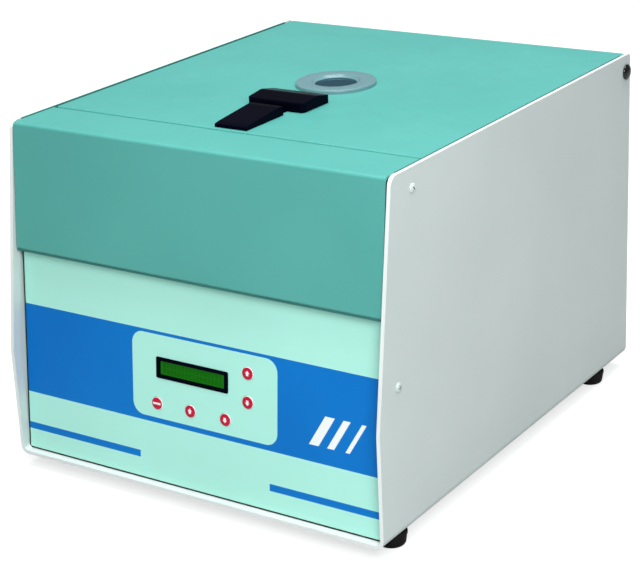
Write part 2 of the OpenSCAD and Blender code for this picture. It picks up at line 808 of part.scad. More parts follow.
module power_inlet() color("#141518") on_rear(inlet_at) {
    difference() {
        union() {
            from_front(rear_face, 3) rounded_rect(inlet_flange[0], inlet_flange[1], 3);
            from_front(rear_face - inlet_body_d, inlet_body_d + 0.01) rounded_rect(inlet_cut[0] - 1, inlet_cut[1] - 1, 1);
        }
        from_front(rear_face + 3 - inlet_recess_d, inlet_recess_d + cut)
            polygon(rounded([[-inlet_recess[0] / 2, -inlet_recess[1] / 2, 1],
                [inlet_recess[0] / 2, -inlet_recess[1] / 2, 1],
                [inlet_recess[0] / 2, inlet_recess[1] / 2 - 5, 1],
                [inlet_recess[0] / 2 - 5, inlet_recess[1] / 2, 1],
                [5 - inlet_recess[0] / 2, inlet_recess[1] / 2, 1],
                [-inlet_recess[0] / 2, inlet_recess[1] / 2 - 5, 1]]));
    }
    // Three flat contacts standing in the recess
    for (p = [[-7, -2], [7, -2], [0, 2]]) translate([p[0], 0, p[1]])
        box_between([-1, rear_face + 2.9 - inlet_recess_d, -2], [1, rear_face - 3, 2]);
}

module switch_frame() color("#17181b") on_rear(switch_at) {
    difference() {
        union() {
            from_front(rear_face, 2) rounded_rect(switch_size[0], switch_size[1], 2);
            from_front(rear_face - switch_body_d, switch_body_d + 0.01) rounded_rect(switch_size[0] - 4, switch_size[1] - 4, 1);
        }
        from_front(rear_face - rocker_room_d, rocker_room_d + 2 + cut) rounded_rect(rocker_size[0] + 3, rocker_size[1] + 1, 0.5);
    }
    // Short trunnions in the frame's cheeks that the rocker turns on
    both_ends_z(rocker_size[1] / 2 + 0.5) translate([0, rear_face - rocker_pivot_d, -0.01])
        cylinder(h = 1.2, r = 1, $fn = 24);
}

// Puts a copy at +z and a mirrored one at -z
module both_ends_z(z) {
    for (m = [0, 1]) mirror([0, 0, m]) translate([0, 0, -z]) children();
}

module switch_rocker() color("#20a050") on_rear(switch_at) {
    difference() {
        intersection() {
            // Shallow crown about the pivot, tipped to its off side
            translate([0, rear_face - rocker_pivot_d, 0]) rotate([0, 0, -8]) difference() {
                box_between([-rocker_size[0] / 2, -4, -rocker_size[1] / 2],
                    [rocker_size[0] / 2, 5, rocker_size[1] / 2]);
                translate([0, 26, -rocker_size[1]]) cylinder(h = 2 * rocker_size[1], r = 22, $fn = 96);
            }
            translate([-20, rear_face - 12, -rocker_size[1] / 2]) cube([40, 20, rocker_size[1]]);
        }
        translate([0, rear_face - rocker_pivot_d, -rocker_size[1]])
            cylinder(h = 2 * rocker_size[1], r = 1 + run_fit, $fn = 24);
    }
}

module fuse_holder() color("#1a1b1e") on_rear(fuse_at) {
    translate([0, rear_face, 0]) rotate([-90, 0, 0]) difference() {
        union() {
            cylinder(h = 3, r = fuse_r);
            cylinder(h = 6, r = fuse_r - 2);
            translate([0, 0, -fuse_body_d]) cylinder(h = fuse_body_d + 0.01, r = fuse_r - 1.6);
        }
        translate([-0.8, -4, 4.8]) cube([1.6, 8, 2]);
    }
}

module power_board() color("#2f6e44") {
    // Board on four pillars, with capacitors, a heat sink and a relay
    translate([supply_at[0], supply_at[1], floor_z]) {
        for (x = [supply_pillar_in, supply_board[0] - supply_pillar_in],
             y = [supply_pillar_in, supply_board[1] - supply_pillar_in])
            translate([x, y, 0]) cylinder(h = supply_pillar_h, r = boss_r);
        translate([0, 0, supply_pillar_h - 0.01]) {
            cube([supply_board[0], supply_board[1], board_t]);
            translate([0, 0, board_t - 0.01]) {
                for (x = [14, 34]) translate([x, 2 * supply_cap_r, 0])
                    cylinder(h = supply_cap_h, r = supply_cap_r);
                translate([relay_at[0], relay_at[1], 0]) cube(relay_size);
                translate([sink_at[0], sink_at[1], 0]) cube(sink_size);
                for (x = [0:fin_step:sink_size[0] - fin_t]) translate([sink_at[0] + x, sink_at[1], 0])
                    cube([fin_t, sink_size[1], fin_h]);
            }
        }
    }
}

module transformer() color("#6d6257") {
    // Foot plate, laminated core and the winding's bobbin
    foot_t = 5;
    edge = 6;
    translate([transformer_at[0], transformer_at[1], floor_z]) {
        cube([transformer_size[0], transformer_size[1], foot_t]);
        translate([edge, edge, foot_t - 0.01])
            cube([transformer_size[0] - 2 * edge, transformer_size[1] - 2 * edge, core_h]);
        translate([3 * edge, -1, foot_t + 2 * edge])
            cube([transformer_size[0] - 6 * edge, transformer_size[1] + 2, core_h - 4 * edge + 1]);
    }
}

module rubber_feet() color("#141414") {
    for (x = [-1, 1], y = [front_y + foot_front, rear_y - foot_rear])
        translate([x * (half_w - foot_in), y, 0]) difference() {
            cylinder(h = foot_h, r1 = foot_r - 1.5, r2 = foot_r);
            translate([0, 0, -cut]) cylinder(h = foot_recess_h + cut, r = foot_recess_r);
        }
}

module case_screws() color("#aab0ae") {
    both_sides() for (at = [cover_screw, panel_screw]) translate([0, at[0], at[1]]) {
        bar_x(screw_r, side_in - screw_reach, half_w + 0.01);
        // Low domed head
        translate([half_w, 0, 0]) rotate([0, 90, 0]) rotate_extrude()
            polygon(concat([[0, 0], [screw_head_r, 0]],
                [for (a = [15:15:90]) [screw_head_r * cos(a), screw_head_h * sin(a)]]));
    }
}

module hinge_pins() color("#c9ced2") {
    both_sides() translate([0, hinge_y, hinge_z])
        bar_x(hinge_pin_d / 2, lid_half_w - hinge_boss_l - 1, half_w);
}

module hinge_caps() color("#101012") {
    both_sides() translate([half_w, hinge_y, hinge_z]) rotate([0, 90, 0]) rotate_extrude()
        polygon(rounded([[0, 0, 0], [hinge_cap_d / 2, 0, 0], [hinge_cap_d / 2, cap_proud, 1.5],
            [0, cap_proud, 0]]));
}

module lid_lock() color("#2b2e33") {
    difference() {
        box_between([-lock_w / 2, lock_y, deck_top], [lock_w / 2, lock_y + lock_d, bolt_top + 4]);
        box_between([-bolt_w / 2 - 1, lock_y + lock_d - 10, bolt_top - bolt_t - 1],
            [bolt_w / 2 + 1, lock_y + lock_d + cut, bolt_top + 1]);
    }
}

module lid_panel() color("#74c6bb") {
    difference() {
        union() {
            difference() {
                box_between([-lid_half_w, lid_front_y, lid_low], [lid_half_w, lid_rear_y, lid_top]);
                box_between([-lid_half_w + lid_t, lid_front_y + lid_t, lid_low - cut],
                    [lid_half_w - lid_t, lid_rear_y - lid_t, lid_top - lid_t]);
            }
            both_sides() translate([0, hinge_y, hinge_z])
                bar_x(hinge_boss_r, lid_half_w - hinge_boss_l, lid_half_w - lid_t / 2);
        }
        both_sides() translate([0, hinge_y, hinge_z])
            bar_x(hinge_pin_d / 2 + run_fit, lid_half_w - hinge_boss_l - cut, lid_half_w + cut);
        on_axis(lid_top - lid_t - cut) cylinder(h = lid_t + 2 * cut, r = port_bore_r + sleeve_t + run_fit);
        // Slot in the front edge for the bolt, and in the top for its neck
        box_between([-bolt_w / 2 - bolt_gap, lid_front_y - cut, bolt_top - bolt_t - bolt_gap],
            [bolt_w / 2 + bolt_gap, lid_front_y + lid_t + cut, bolt_top + bolt_gap]);
        neck_slot(lid_top - lid_t - cut, lid_top + cut);
    }
}

// Slot that the bolt's neck travels in
module neck_slot(z0, z1) {
    box_between([-neck_w / 2 - bolt_gap, neck_y - latch_travel - bolt_gap, z0],
        [neck_w / 2 + bolt_gap, neck_y + neck_l + bolt_gap, z1]);
}

module lid_liner() color("#d3d8d6") {
    difference() {
        box_between([-lid_half_w + lid_t + seat, lid_front_y + lid_t + seat, lid_low],
            [lid_half_w - lid_t - seat, lid_rear_y - lid_t - seat, lid_low + liner_t]);
        on_axis(lid_low - cut) cylinder(h = liner_t + 2 * cut, r = port_bore_r + sleeve_t + run_fit);
    }
}

module port_disc() color("#86b4c4") on_axis(lid_top) {
    rotate_extrude($fn = 96) polygon(rounded([[port_bore_r, 0, 0], [port_d / 2, 0, 0],
        [port_d / 2, port_proud, 1.2], [port_bore_r, port_proud, 0.6]]));
}

module port_window() color("#2c5f7e") on_axis(lid_top - 2) {
    cylinder(h = 3, r = port_bore_r - run_fit);
}

module port_sleeve() color("#d8dcdb") on_axis() {
    translate([0, 0, lid_low]) tube(port_bore_r + sleeve_t, port_bore_r, lid_top - lid_low);
}

module latch_slab() color("#0b0b10") {
    // Slab that rises to the rear, with a low rail under the grip
    difference() {
        union() {
            along_x(slab_w) polygon(rounded([[slab_y, lid_top, 0], [slab_end, lid_top, 0],
                [slab_end, lid_top + slab_h, 1.5], [slab_end - 6, lid_top + slab_h, 1],
                [slab_y + 6, lid_top + slab_h / 2, 3], [slab_y, lid_top + slab_h / 2 - 1, 1]]));
            box_between([-rail_w / 2, slab_end - cut, lid_top], [rail_w / 2, grip_y + grip_l - 3, lid_top + rail_h]);
        }
        neck_slot(lid_top - cut, lid_top + slab_h + cut);
    }
}

module bolt_guide() color("#8d9498") {
    // Two saddles under the lid's sheet that the bolt slides in
    for (y = [bolt_front + guide_gap, neck_y - latch_travel - guide_gap - guide_l]) difference() {
        box_between([-guide_w / 2, y, bolt_top - bolt_t - 4], [guide_w / 2, y + guide_l, lid_top - lid_t]);
        box_between([-bolt_w / 2 - seat, y - cut, bolt_top - bolt_t - seat],
            [bolt_w / 2 + seat, y + guide_l + cut, bolt_top + seat]);
    }
}

module latch_bolt() color("#b9bfc2") {
    box_between([-bolt_w / 2, bolt_front, bolt_top - bolt_t], [bolt_w / 2, neck_y + neck_l, bolt_top]);
    box_between([-neck_w / 2, neck_y, bolt_top - bolt_t], [neck_w / 2, neck_y + neck_l, lid_top + rail_h + seat]);
}

module latch_grip() color("#0b0b10") {
    difference() {
        intersection() {
            // Crest across the grip, seen from the side
            along_x(grip_w) polygon(rounded([[grip_y, lid_top + seat, 0], [grip_y + grip_l, lid_top + seat, 0],
                [grip_y + grip_l, lid_top + grip_h - 3.8, 2], [grip_y + grip_l * 0.52, lid_top + grip_h, 14],
                [grip_y, lid_top + grip_h - 2.4, 2]]));
            translate([0, grip_y + grip_l / 2, 0]) from_top(top_z + 40) rounded_rect(grip_w, grip_l, 4);
        }
        // Channel that rides over the rail
        box_between([-rail_w / 2 - bolt_gap, grip_y - cut, lid_top - cut],
            [rail_w / 2 + bolt_gap, grip_y + grip_l + cut, lid_top + rail_h + seat]);
    }
}

outer_wrap();
front_cover();
control_panel();
panel_film();
display_bezel();
display_glass();
display_board();
control_board();
deck_plate();
chamber_bowl();
chamber_gasket();
motor_plate();
motor_mounts();
motor_housing();
motor_end_bells();
motor_bearings();
shaft_boot();
rear_panel();
power_inlet();
switch_frame();
fuse_holder();
power_board();
transformer();
rubber_feet();
case_screws();
hinge_pins();
hinge_caps();
lid_lock();
lid_panel();
lid_liner();
port_disc();
port_window();
port_sleeve();
latch_slab();
bolt_guide();
latch_grip();
latch_bolt();
key_cap(0);  // key_stop
key_cap(1);  // key_start
key_cap(2);  // key_menu
key_cap(3);  // key_up
key_cap(4);  // key_down
switch_rocker();
motor_shaft();
rotor_body();
rotor_knob();
slide_clip(1);  // slide_clip_1
slide_clip(2);  // slide_clip_2
slide_clip(3);  // slide_clip_3
slide_clip(4);  // slide_clip_4
slide_clip(5);  // slide_clip_5
slide_clip(6);  // slide_clip_6
sample_chamber(1);  // sample_chamber_1
sample_chamber(2);  // sample_chamber_2
sample_chamber(3);  // sample_chamber_3
sample_chamber(4);  // sample_chamber_4
sample_chamber(5);  // sample_chamber_5
sample_chamber(6);  // sample_chamber_6
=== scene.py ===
import bpy
import bmesh
import json
import math
from mathutils import Matrix, Vector

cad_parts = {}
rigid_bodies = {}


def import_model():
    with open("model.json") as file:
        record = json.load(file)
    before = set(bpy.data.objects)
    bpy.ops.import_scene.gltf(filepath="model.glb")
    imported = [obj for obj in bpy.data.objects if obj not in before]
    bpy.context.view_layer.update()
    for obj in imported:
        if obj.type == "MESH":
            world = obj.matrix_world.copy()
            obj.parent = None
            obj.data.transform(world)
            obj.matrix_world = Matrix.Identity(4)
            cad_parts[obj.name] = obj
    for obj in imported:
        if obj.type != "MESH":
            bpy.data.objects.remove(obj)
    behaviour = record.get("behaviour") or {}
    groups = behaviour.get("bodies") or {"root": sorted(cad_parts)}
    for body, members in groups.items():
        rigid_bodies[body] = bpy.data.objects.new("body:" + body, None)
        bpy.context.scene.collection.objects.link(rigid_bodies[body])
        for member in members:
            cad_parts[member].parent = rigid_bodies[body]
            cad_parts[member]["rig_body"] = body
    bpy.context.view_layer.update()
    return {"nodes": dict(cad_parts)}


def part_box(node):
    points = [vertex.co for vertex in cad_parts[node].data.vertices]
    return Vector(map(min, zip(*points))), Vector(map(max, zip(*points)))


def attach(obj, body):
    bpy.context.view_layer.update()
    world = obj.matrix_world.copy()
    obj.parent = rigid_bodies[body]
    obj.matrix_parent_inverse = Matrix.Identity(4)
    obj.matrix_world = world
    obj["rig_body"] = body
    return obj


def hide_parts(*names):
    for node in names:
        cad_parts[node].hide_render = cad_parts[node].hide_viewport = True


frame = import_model()
nodes = frame["nodes"]
mm = 0.001
print("frame loaded:", len(nodes), "nodes")


# Camera, measured from the photograph's edges
camera = {
    "place": (0.8615, -1.28079, 0.70334),
    "azimuth": 34.32, "elevation": 20.42, "roll": -2.705,
    "focal": 1835.8, "imageWidth": 640.0, "sensor": 36.0, "clip": 0.01,
}


def placeCamera(c):
    az, el, roll = (math.radians(c[k]) for k in ("azimuth", "elevation", "roll"))
    back = Vector((math.sin(az) * math.cos(el), -math.cos(az) * math.cos(el), math.sin(el)))
    right = (-back).cross(Vector((0, 0, 1))).normalized()
    up = right.cross(-back)
    camX = right * math.cos(roll) + up * math.sin(roll)
    camY = up * math.cos(roll) - right * math.sin(roll)
    data = bpy.data.cameras.new("photoCamera")
    data.sensor_width = c["sensor"]
    data.lens = c["focal"] / c["imageWidth"] * c["sensor"]
    data.clip_start = c["clip"]
    obj = bpy.data.objects.new("photoCamera", data)
    bpy.context.scene.collection.objects.link(obj)
    turn = Matrix((camX, camY, back)).transposed().to_4x4()
    obj.matrix_world = Matrix.Translation(c["place"]) @ turn
    bpy.context.scene.camera = obj


placeCamera(camera)
print("camera placed")


# Studio: pale floor, soft lamps and a white surround
studio = {
    "surround": 0.24,      # strength of the world on matt surfaces
    "reflected": 0.20,     # strength of the world in reflections
    "floorColor": (0.45, 0.46, 0.46, 1),
    "floorSize": 14.0,
    "floorLift": (0.67, 0.98),   # near and far glow, brings the floor up to the photograph's white
    "floorFade": (0.8, 2.4),     # metres from the object between which the glow grows
    "lamps": [             # name, place, aim, size, watts
        ("overheadLamp", (0.1, 0.05, 2.3), (0, 0, 0.2), 1.9, 54.5),
        ("frontLamp", (0.5, -2.5, 1.3), (0.05, -0.2, 0.15), 1.6, 9.5),
        ("cornerLamp", (0.95, -1.0, 1.0), (0.15, -0.15, 0.2), 0.7, 14.5),
    ],
}


def lightStudio(s):
    scene = bpy.context.scene
    world = bpy.data.worlds.new("studioWorld")
    scene.world = world
    world.use_nodes = True
    nt = world.node_tree
    nt.nodes.clear()
    path = nt.nodes.new("ShaderNodeLightPath")
    seen = nt.nodes.new("ShaderNodeMath")
    seen.operation = "MAXIMUM"
    nt.links.new(path.outputs["Is Camera Ray"], seen.inputs[0])
    nt.links.new(path.outputs["Is Transmission Ray"], seen.inputs[1])
    glossy = nt.nodes.new("ShaderNodeMath")
    glossy.operation = "MULTIPLY"
    glossy.inputs[1].default_value = s["reflected"]
    nt.links.new(path.outputs["Is Glossy Ray"], glossy.inputs[0])
    total = nt.nodes.new("ShaderNodeMath")
    total.operation = "MAXIMUM"
    nt.links.new(seen.outputs[0], total.inputs[0])
    nt.links.new(glossy.outputs[0], total.inputs[1])
    matt = nt.nodes.new("ShaderNodeMath")
    matt.operation = "MULTIPLY"
    matt.inputs[1].default_value = s["surround"]
    nt.links.new(path.outputs["Is Diffuse Ray"], matt.inputs[0])
    strength = nt.nodes.new("ShaderNodeMath")
    strength.operation = "MAXIMUM"
    nt.links.new(total.outputs[0], strength.inputs[0])
    nt.links.new(matt.outputs[0], strength.inputs[1])
    bg = nt.nodes.new("ShaderNodeBackground")
    bg.inputs["Color"].default_value = (1, 1, 1, 1)
    nt.links.new(strength.outputs[0], bg.inputs["Strength"])
    out = nt.nodes.new("ShaderNodeOutputWorld")
    nt.links.new(bg.outputs[0], out.inputs["Surface"])
    for name, place, aim, size, watts in s["lamps"]:
        data = bpy.data.lights.new(name, "AREA")
        data.shape = "DISK"
        data.size = size
        data.energy = watts
        lamp = bpy.data.objects.new(name, data)
        scene.collection.objects.link(lamp)
        aimAt = (Vector(aim) - Vector(place)).to_track_quat("-Z", "Y").to_matrix().to_4x4()
        lamp.matrix_world = Matrix.Translation(place) @ aimAt
    scene.view_settings.view_transform = "Standard"


def layFloor(s):
    bm = bmesh.new()
    bmesh.ops.create_grid(bm, x_segments=2, y_segments=2, size=s["floorSize"] / 2)
    mesh = bpy.data.meshes.new("studioFloor")
    bm.to_mesh(mesh)
    bm.free()
    floor = bpy.data.objects.new("studioFloor", mesh)
    bpy.context.scene.collection.objects.link(floor)
    mat = bpy.data.materials.new("studioFloor")
    mat.use_nodes = True
    nt = mat.node_tree
    nt.nodes.clear()
    coords = nt.nodes.new("ShaderNodeTexCoord")
    away = nt.nodes.new("ShaderNodeVectorMath")
    away.operation = "LENGTH"
    nt.links.new(coords.outputs["Object"], away.inputs[0])
    fade = nt.nodes.new("ShaderNodeMapRange")
    for key, number in zip(("From Min", "From Max", "To Min", "To Max"), s["floorFade"] + s["floorLift"]):
        fade.inputs[key].default_value = number
    nt.links.new(away.outputs["Value"], fade.inputs["Value"])
    path = nt.nodes.new("ShaderNodeLightPath")
    seen = nt.nodes.new("ShaderNodeMath")
    seen.operation = "MULTIPLY"
    nt.links.new(fade.outputs["Result"], seen.inputs[1])
    nt.links.new(path.outputs["Is Camera Ray"], seen.inputs[0])
    diffuse = nt.nodes.new("ShaderNodeBsdfDiffuse")
    diffuse.inputs["Color"].default_value = s["floorColor"]
    glow = nt.nodes.new("ShaderNodeEmission")
    nt.links.new(seen.outputs[0], glow.inputs["Strength"])
    both = nt.nodes.new("ShaderNodeAddShader")
    nt.links.new(diffuse.outputs[0], both.inputs[0])
    nt.links.new(glow.outputs[0], both.inputs[1])
    out = nt.nodes.new("ShaderNodeOutputMaterial")
    nt.links.new(both.outputs[0], out.inputs["Surface"])
    mesh.materials.append(mat)


lightStudio(studio)
layFloor(studio)
print("studio lit")


# Materials: each finish is one row; noise on Object coordinates gives grain, tone and bump
finishes = {
    # name: base, second tone, rough low, rough high, metallic, grain per metre, bump mm, extra sockets
    "casePaint": ((0.625, 0.705, 0.69), (0.59, 0.67, 0.655), 0.40, 0.52, 0, 1500, 0.030,
                  {"Specular IOR Level": 0.25}),
    # the paler hem paint below is a painted highlight on the wrap's hem edges
    "hemHighlightPaint": ((0.85, 0.90, 0.885), (0.80, 0.85, 0.835), 0.34, 0.46, 0, 1500, 0.020,
                 {"Specular IOR Level": 0.35}),
    "lidPaint": ((0.098, 0.408, 0.368), (0.086, 0.380, 0.343), 0.34, 0.46, 0, 1300, 0.035,
                 {"Specular IOR Level": 0.25}),
    "panelPaint": ((0.45, 0.86, 0.75), (0.42, 0.81, 0.70), 0.38, 0.50, 0, 1500, 0.02,
                   {"Specular IOR Level": 0.2}),
    "filmPrint": ((0.45, 0.90, 0.78), (0.43, 0.86, 0.745), 0.36, 0.46, 0, 2600, 0.008,
                  {"Specular IOR Level": 0.15}),
    "bluePrint": ((0.002, 0.195, 0.62), (0.0015, 0.165, 0.56), 0.36, 0.46, 0, 2600, 0.008,
                  {"Specular IOR Level": 0.12}),
    "whitePrint": ((0.90, 0.96, 0.95), (0.86, 0.92, 0.91), 0.36, 0.46, 0, 2600, 0.008,
                   {"Specular IOR Level": 0.15}),
    "blackPlastic": ((0.005, 0.005, 0.006), (0.009, 0.009, 0.011), 0.36, 0.52, 0, 2200, 0.03,
                     {"Specular IOR Level": 0.3}),
    # blackGloss: black plastic; the faint navy tint in its base colours is a painted sheen
    "blackGloss": ((0.0010, 0.0010, 0.004), (0.0020, 0.0022, 0.010), 0.14, 0.26, 0, 1400, 0.008,
                   {"Specular IOR Level": 0.014}),
    "capGloss": ((0.0015, 0.0015, 0.002), (0.003, 0.003, 0.004), 0.08, 0.14, 0, 1400, 0.004,
                 {"Specular IOR Level": 0.4, "Coat Weight": 0.5, "Coat Roughness": 0.05}),
    "blackRubber": ((0.006, 0.006, 0.006), (0.014, 0.013, 0.013), 0.60, 0.80, 0, 1800, 0.05,
                    {"Specular IOR Level": 0.15}),
    # the dark teal below is painted shade, for the strips in the gaps beside the lid and under the cover
    "shadeStripPaint": ((0.035, 0.150, 0.135), (0.045, 0.180, 0.160), 0.50, 0.70, 0, 1800, 0.02,
                   {"Specular IOR Level": 0.1}),
    "displayGreen": ((0.004, 0.150, 0.002), (0.014, 0.215, 0.006), 0.16, 0.24, 0, 150, 0.004,
                     {"Specular IOR Level": 0.06}),
    "displayCell": ((0.003, 0.120, 0.0015), (0.008, 0.150, 0.004), 0.20, 0.30, 0, 900, 0.004,
                    {"Specular IOR Level": 0.06}),
    "circuitBoard": ((0.018, 0.14, 0.055), (0.012, 0.10, 0.040), 0.30, 0.45, 0, 700, 0.015, {}),
    "deckSteel": ((0.46, 0.48, 0.50), (0.40, 0.42, 0.44), 0.46, 0.60, 1, 900, 0.01, {}),
    "bowlSteel": ((0.60, 0.62, 0.64), (0.52, 0.54, 0.56), 0.34, 0.46, 1, 900, 0.01, {}),
    "brightSteel": ((0.62, 0.64, 0.66), (0.54, 0.56, 0.58), 0.24, 0.36, 1, 1100, 0.006, {}),
    "castAlloy": ((0.45, 0.47, 0.49), (0.39, 0.41, 0.43), 0.46, 0.60, 1, 1200, 0.02, {}),
    "motorPaint": ((0.045, 0.052, 0.06), (0.035, 0.04, 0.046), 0.45, 0.6, 0, 900, 0.04, {}),
    "whitePlastic": ((0.78, 0.80, 0.74), (0.72, 0.745, 0.69), 0.34, 0.46, 0, 1600, 0.015,
                     {"Subsurface Weight": 0.06}),
    "portPlastic": ((0.205, 0.395, 0.430), (0.165, 0.345, 0.380), 0.10, 0.18, 0, 700, 0.006,
                    {"Transmission Weight": 0.25, "IOR": 1.49, "Specular IOR Level": 0.3}),
    "portGlass": ((0.006, 0.052, 0.085), (0.004, 0.038, 0.064), 0.04, 0.09, 0, 600, 0.002,
                  {"Transmission Weight": 0.12, "IOR": 1.5, "Specular IOR Level": 0.08}),
    "switchGreen": ((0.02, 0.34, 0.09), (0.015, 0.27, 0.07), 0.18, 0.28, 0, 900, 0.006, {}),
    "keyRed": ((0.60, 0.003, 0.040), (0.50, 0.002, 0.032), 0.26, 0.38, 0, 1400, 0.010,
               {"Specular IOR Level": 0.25}),
    "keyMark": ((0.95, 0.95, 0.95), (0.90, 0.90, 0.90), 0.32, 0.42, 0, 1400, 0.006,
                {"Specular IOR Level": 0.2}),
    "brass": ((0.62, 0.44, 0.16), (0.52, 0.36, 0.12), 0.22, 0.34, 1, 900, 0.006, {}),
}
noise = {
    # scale and detail of each noise, and the part of its range that is used
    "tone": (9.0, 3.0), "smear": (46.0, 5.0), "fineDetail": 2.0, "low": 0.3, "high": 0.7,
}
madeMaterials = {}


def addNoise(nt, vector, scale, detail):
    node = nt.nodes.new("ShaderNodeTexNoise")
    node.inputs["Scale"].default_value = scale
    node.inputs["Detail"].default_value = detail
    nt.links.new(vector, node.inputs["Vector"])
    return node.outputs["Fac"]


def addRange(nt, value, low, high):
    node = nt.nodes.new("ShaderNodeMapRange")
    ends = {"From Min": noise["low"], "From Max": noise["high"], "To Min": low, "To Max": high}
    for key, number in ends.items():
        node.inputs[key].default_value = number
    nt.links.new(value, node.inputs["Value"])
    return node.outputs["Result"]


def addMix(nt, factor, a, b):
    mix = nt.nodes.new("ShaderNodeMix")
    mix.data_type = "RGBA"
    for socket, value in ((mix.inputs["A"], a), (mix.inputs["B"], b)):
        if isinstance(value, bpy.types.NodeSocket):
            nt.links.new(value, socket)
        else:
            socket.default_value = (*value, 1)
    nt.links.new(factor, mix.inputs["Factor"])
    return mix.outputs["Result"]


def makeFinish(name, stretch):
    base, second, roughLow, roughHigh, metallic, grain, bump, extra = finishes[name]
    mat = bpy.data.materials.new(name)
    mat.use_nodes = True
    nt = mat.node_tree
    shader = nt.nodes["Principled BSDF"]
    shader.inputs["Metallic"].default_value = metallic
    for socket, number in extra.items():
        shader.inputs[socket].default_value = number
    coords = nt.nodes.new("ShaderNodeTexCoord")
    mapping = nt.nodes.new("ShaderNodeMapping")
    mapping.inputs["Scale"].default_value = stretch
    nt.links.new(coords.outputs["Object"], mapping.inputs["Vector"])
    place = mapping.outputs["Vector"]
    tone = addNoise(nt, place, *noise["tone"])
    fine = addNoise(nt, place, grain, noise["fineDetail"])
    nt.links.new(addMix(nt, addRange(nt, tone, 0, 1), base, second), shader.inputs["Base Color"])
    smear = addNoise(nt, place, *noise["smear"])
    nt.links.new(addRange(nt, smear, roughLow, roughHigh), shader.inputs["Roughness"])
    bumpNode = nt.nodes.new("ShaderNodeBump")
    bumpNode.inputs["Distance"].default_value = bump * mm
    bumpNode.inputs["Strength"].default_value = 1.0
    nt.links.new(fine, bumpNode.inputs["Height"])
    nt.links.new(bumpNode.outputs["Normal"], shader.inputs["Normal"])
    return mat


def material(name, stretch=(1, 1, 1)):
    key = (name, tuple(stretch))
    if key not in madeMaterials:
        madeMaterials[key] = makeFinish(name, stretch)
    return madeMaterials[key]


print("finishes ready:", len(finishes))


# Angles in degrees: shaded smooth below, rounded above, and flat enough to dissolve; welds in metres
shaping = {"smoothAngle": 35, "edgeAngle": 34, "flatAngle": 0.6, "cadWeld": 2e-6, "weld": 1e-7}


# Helpers that turn a bmesh into a piece of the object
def linkPiece(name, mesh, body, mat):
    mesh.name = name
    mesh.materials.clear()
    mesh.materials.append(mat)
    for face in mesh.polygons:
        face.use_smooth = True
    mesh.set_sharp_from_angle(angle=math.radians(shaping["smoothAngle"]))
    obj = bpy.data.objects.new(name, mesh)
    bpy.context.scene.collection.objects.link(obj)
    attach(obj, body)
    return obj


def meshOf(bm, name):
    mesh = bpy.data.meshes.new(name)
    bm.to_mesh(mesh)
    bm.free()
    return mesh


def middle(edge):
    return (edge.verts[0].co + edge.verts[1].co) / 2


def isEdge(e):
    return len(e.link_faces) == 2 and e.calc_face_angle(0) > math.radians(shaping["edgeAngle"])


def roundEdges(bm, edges, width, segments):
    bmesh.ops.bevel(bm, geom=edges, offset=width * mm, offset_type="OFFSET", affect="EDGES",
                    segments=segments, profile=0.5, material=-1, clamp_overlap=True)


# Copy of a CAD node with its sharp edges rounded; special(place) may give an edge its own width
def dressNode(node, finishName, width=0.35, segments=2, stretch=(1, 1, 1), special=None):
    bm = bmesh.new()
    bm.from_mesh(nodes[node].data)
    bmesh.ops.remove_doubles(bm, verts=bm.verts, dist=shaping["cadWeld"])
    bmesh.ops.dissolve_limit(bm, angle_limit=math.radians(shaping["flatAngle"]), verts=bm.verts,
                             edges=bm.edges)
    groups = {}
    for e in filter(isEdge, bm.edges):
        size = special(middle(e)) if special else None
        groups.setdefault(width if size is None else size, []).append(e)
    for size, edges in sorted(groups.items(), reverse=True):
        live = [e for e in edges if e.is_valid]
        if size > 0 and live:
            roundEdges(bm, live, size, segments)
    name = "".join(w if i == 0 else w.capitalize() for i, w in enumerate(node.split("_"))) + "Finished"
    obj = linkPiece(name, meshOf(bm, name), nodes[node]["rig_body"],
                    material(finishName, stretch))
    weight = obj.modifiers.new("evenShading", "WEIGHTED_NORMAL")
    weight.keep_sharp = True
    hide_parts(node)
    return obj


# Closed solid spun about Z from [radius, height] points in mm; radius 0 ends close on the axis
def lathe(profile, segments):
    bm = bmesh.new()
    verts = [bm.verts.new((r * mm, 0, z * mm)) for r, z in profile]
    edges = [bm.edges.new((a, b)) for a, b in zip(verts, verts[1:])]
    if profile[0][0] > 0 and profile[-1][0] > 0:
        edges.append(bm.edges.new((verts[-1], verts[0])))
    bmesh.ops.spin(bm, geom=verts + edges, cent=(0, 0, 0), axis=(0, 0, 1), angle=2 * math.pi,
                   steps=segments, use_merge=True)
    bmesh.ops.remove_doubles(bm, verts=bm.verts, dist=shaping["weld"])
    bmesh.ops.recalc_face_normals(bm, faces=bm.faces)
    return bm


def arc(cx, cy, r, fromDeg, toDeg, steps=6):
    turns = [math.radians(fromDeg + (toDeg - fromDeg) * i / steps) for i in range(steps + 1)]
    return [(cx + r * math.cos(a), cy + r * math.sin(a)) for a in turns]


# Several bmeshes as one
def join(parts):
    whole = bmesh.new()
    for part in parts:
        mesh = meshOf(part, "joined")
        whole.from_mesh(mesh)
        bpy.data.meshes.remove(mesh)
    return whole


def placed(bm, matrix):
    bmesh.ops.transform(bm, matrix=matrix, verts=bm.verts)
    return bm


def roundedOutline(x0, x1, y0, y1, r, steps):
    return (arc(x1 - r, y0 + r, r, -90, 0, steps) + arc(x1 - r, y1 - r, r, 0, 90, steps)
            + arc(x0 + r, y1 - r, r, 90, 180, steps) + arc(x0 + r, y0 + r, r, 180, 270, steps))


# Points of a dome over a rim, a step of so many degrees apart, and its top on the axis
def domePoints(r, rim, top, step, count):
    turns = [math.radians(step * i) for i in range(1, count + 1)]
    return [(r * math.cos(a), rim + (top - rim) * math.sin(a)) for a in turns] + [(0, top)]


